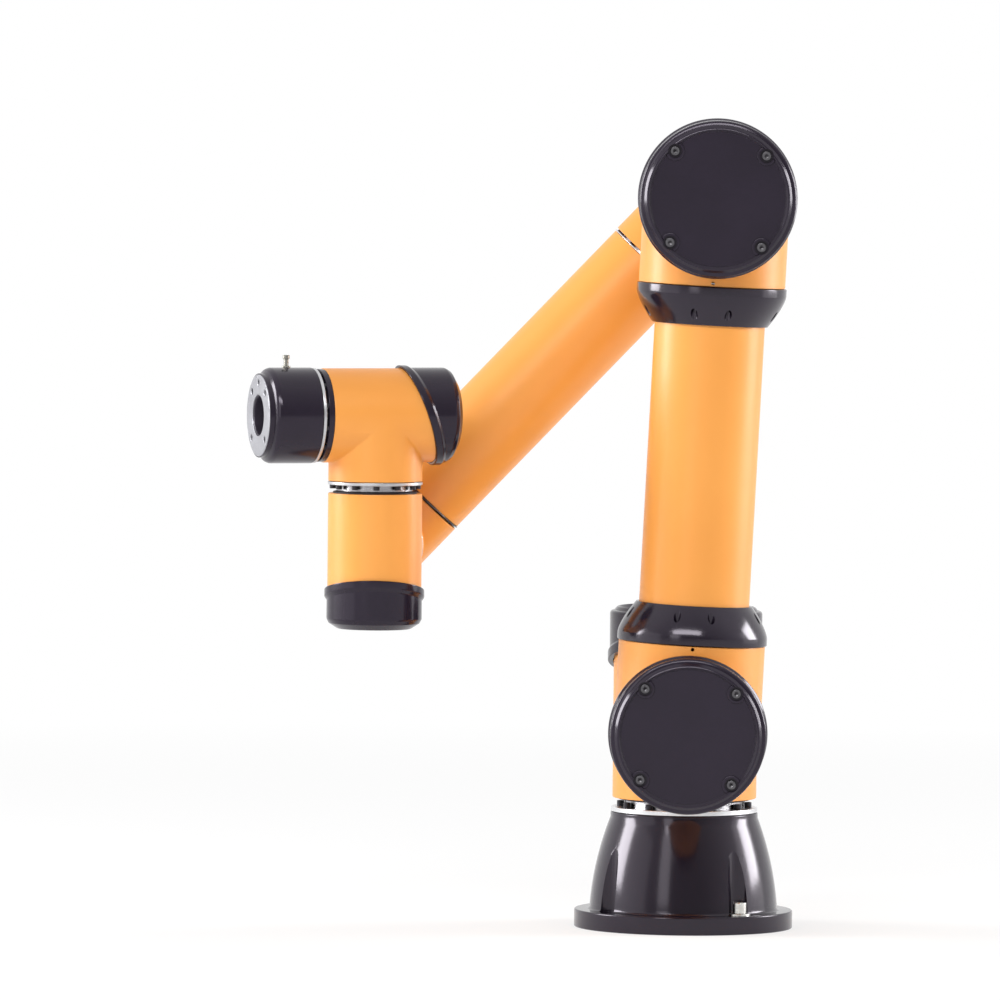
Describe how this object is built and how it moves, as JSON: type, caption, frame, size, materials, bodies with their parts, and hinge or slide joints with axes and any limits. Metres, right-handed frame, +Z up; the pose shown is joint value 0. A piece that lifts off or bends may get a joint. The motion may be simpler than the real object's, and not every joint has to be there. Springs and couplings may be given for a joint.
{
  "type": "collaborative robot arm",
  "caption": "Jointed robot arm on a round bolted base: orange tubes and housings, black end caps and collars, and a tool flange with a centring bore.",
  "frame": {"origin": "centre of the base's underside, on the axis of the first joint", "axes": "+Z up, the upper arm's end caps face -Y, +X is to the right of the picture"},
  "size_m": [0.4247, 0.3118, 0.6312],
  "materials": {
    "orange_paint": "satin",
    "black_paint": "gloss",
    "black_plastic": "satin",
    "machined_aluminium": "satin",
    "steel": "satin",
    "winding_copper": "satin",
    "board_green": "matte"
  },
  "bodies": {
    "base": {"base_housing": "black_paint", "base_bottom_cover": "steel", "base_cable_socket": "steel", "j1_output_ring": "machined_aluminium"},
    "shoulder": {"shoulder_housing": "orange_paint", "shoulder_cap": "black_plastic", "j2_output_ring": "machined_aluminium", "j1_stator": "winding_copper", "j1_flexspline": "steel", "j1_drive_board": "board_green"},
    "upper_arm": {"j2_housing": "orange_paint", "j2_cap": "black_plastic", "lower_collar": "black_paint", "upper_arm_tube": "orange_paint", "upper_collar": "black_paint", "j3_housing": "orange_paint", "j3_cap": "black_plastic", "j2_stator": "winding_copper", "j2_flexspline": "steel", "j2_drive_board": "board_green", "j3_stator": "winding_copper", "j3_flexspline": "steel", "j3_drive_board": "board_green"},
    "forearm": {"j3_output_ring": "machined_aluminium", "forearm_elbow_housing": "orange_paint", "forearm_elbow_ring": "machined_aluminium", "forearm_tube": "orange_paint", "forearm_wrist_ring": "machined_aluminium", "forearm_wrist_housing": "orange_paint", "forearm_wrist_cap": "black_plastic", "j4_stator": "winding_copper", "j4_flexspline": "steel", "j4_drive_board": "board_green"},
    "wrist_1": {"j4_output_ring": "machined_aluminium", "wrist_1_housing": "orange_paint", "wrist_1_cap": "black_plastic", "j5_stator": "winding_copper", "j5_flexspline": "steel", "j5_drive_board": "board_green"},
    "wrist_2": {"j5_output_ring": "machined_aluminium", "wrist_2_housing": "orange_paint", "wrist_2_cap": "black_plastic", "j6_stator": "winding_copper", "j6_flexspline": "steel", "j6_drive_board": "board_green"},
    "tool_flange": {"j6_output_ring": "machined_aluminium", "tool_flange_sleeve": "black_plastic", "tool_flange_plate": "machined_aluminium", "tool_connector": "steel"},
    "rotor_1": {"j1_rotor": "steel"},
    "rotor_2": {"j2_rotor": "steel"},
    "rotor_3": {"j3_rotor": "steel"},
    "rotor_4": {"j4_rotor": "steel"},
    "rotor_5": {"j5_rotor": "steel"},
    "rotor_6": {"j6_rotor": "steel"}
  },
  "joints": [
    {"name": "j1_base", "type": "hinge", "parent": "base", "child": "shoulder", "pos_m": [0, 0, 0.163], "axis": [0, 0, 1], "range_deg": [-175, 175]},
    {"name": "j2_shoulder", "type": "hinge", "parent": "shoulder", "child": "upper_arm", "pos_m": [0, -0.14, 0.163], "axis": [0, 1, 0], "range_deg": [-177, 160]},
    {"name": "j3_elbow", "type": "hinge", "parent": "upper_arm", "child": "forearm", "pos_m": [0.01851, -0.14, 0.57058], "axis": [0, -1, 0], "range_deg": [-270, 20]},
    {"name": "j4_wrist_1", "type": "hinge", "parent": "forearm", "child": "wrist_1", "pos_m": [-0.24079, -0.019, 0.29829], "axis": [0, 1, 0], "range_deg": [-311, 20]},
    {"name": "j5_wrist_2", "type": "hinge", "parent": "wrist_1", "child": "wrist_2", "pos_m": [-0.24079, -0.1215, 0.29829], "axis": [0, 0, -1], "range_deg": [-175, 80]},
    {"name": "j6_tool", "type": "hinge", "parent": "wrist_2", "child": "tool_flange", "pos_m": [-0.24079, -0.1215, 0.40079], "axis": [-0.9527, -0.304, 0], "range_deg": [-175, 175]},
    {"name": "m1_rotor", "type": "hinge", "parent": "shoulder", "child": "rotor_1", "pos_m": [0, 0, 0.163], "axis": [0, 0, 1], "continuous": true},
    {"name": "m2_rotor", "type": "hinge", "parent": "upper_arm", "child": "rotor_2", "pos_m": [0, -0.14, 0.163], "axis": [0, 1, 0], "continuous": true},
    {"name": "m3_rotor", "type": "hinge", "parent": "upper_arm", "child": "rotor_3", "pos_m": [0.01851, -0.14, 0.57058], "axis": [0, -1, 0], "continuous": true},
    {"name": "m4_rotor", "type": "hinge", "parent": "forearm", "child": "rotor_4", "pos_m": [-0.24079, -0.019, 0.29829], "axis": [0, 1, 0], "continuous": true},
    {"name": "m5_rotor", "type": "hinge", "parent": "wrist_1", "child": "rotor_5", "pos_m": [-0.24079, -0.1215, 0.29829], "axis": [0, 0, -1], "continuous": true},
    {"name": "m6_rotor", "type": "hinge", "parent": "wrist_2", "child": "rotor_6", "pos_m": [-0.24079, -0.1215, 0.40079], "axis": [-0.9527, -0.304, 0], "continuous": true}
  ],
  "couplings": [
    {"joint": "m1_rotor", "follows": "j1_base", "ratio": -121},
    {"joint": "m2_rotor", "follows": "j2_shoulder", "ratio": -121},
    {"joint": "m3_rotor", "follows": "j3_elbow", "ratio": 121},
    {"joint": "m4_rotor", "follows": "j4_wrist_1", "ratio": 101},
    {"joint": "m5_rotor", "follows": "j5_wrist_2", "ratio": 101},
    {"joint": "m6_rotor", "follows": "j6_tool", "ratio": 101}
  ]
}
